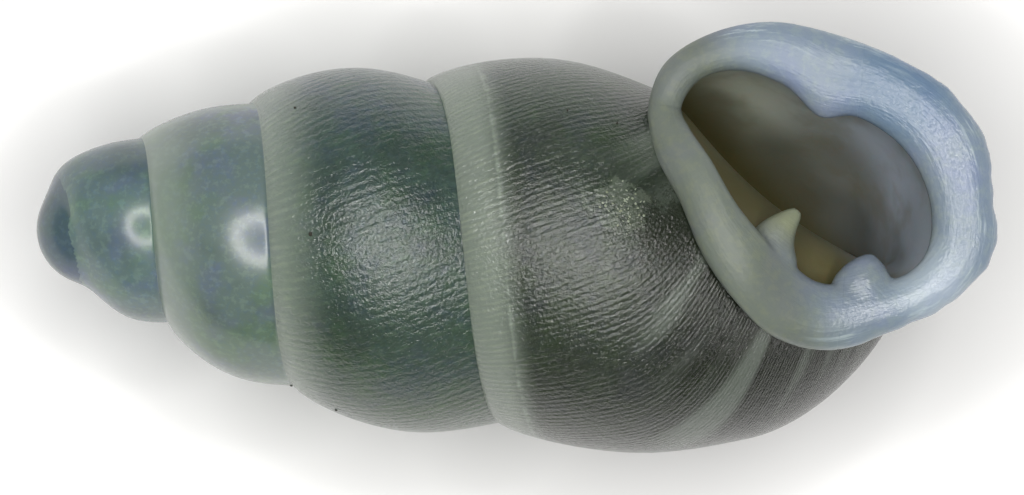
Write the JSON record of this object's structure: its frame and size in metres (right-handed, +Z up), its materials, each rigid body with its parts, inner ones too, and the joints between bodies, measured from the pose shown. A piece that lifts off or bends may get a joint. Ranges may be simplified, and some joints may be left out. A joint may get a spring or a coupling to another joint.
{
  "type": "thorn snail shell",
  "caption": "Empty spindle-shaped shell of a tiny land snail, lying mouth up, with a thick toothed lip around its opening.",
  "frame": {"origin": "centre of the bounding box at the level of the flats it rests on", "axes": "+X along the shell from apex to base, +Y towards the outer lip, +Z up, out of the mouth"},
  "size_m": [0.002, 0.0008, 0.0008],
  "materials": {
    "protoconch": "translucent aragonite, glossy, bluish grey-green",
    "spire": "translucent aragonite, glossy, grey-green with fine growth lines",
    "body_whorl": "translucent aragonite, glossy, grey-green with fine growth lines",
    "peristome": "opaque bluish-white shell thickening, satin",
    "parietal_tooth": "opaque bluish-white shell thickening, satin",
    "columellar_tooth": "opaque bluish-white shell thickening, satin"
  },
  "bodies": {
    "root": {"protoconch": "protoconch", "spire": "spire", "body_whorl": "body_whorl", "peristome": "peristome", "parietal_tooth": "parietal_tooth", "columellar_tooth": "columellar_tooth"}
  },
  "joints": []
}
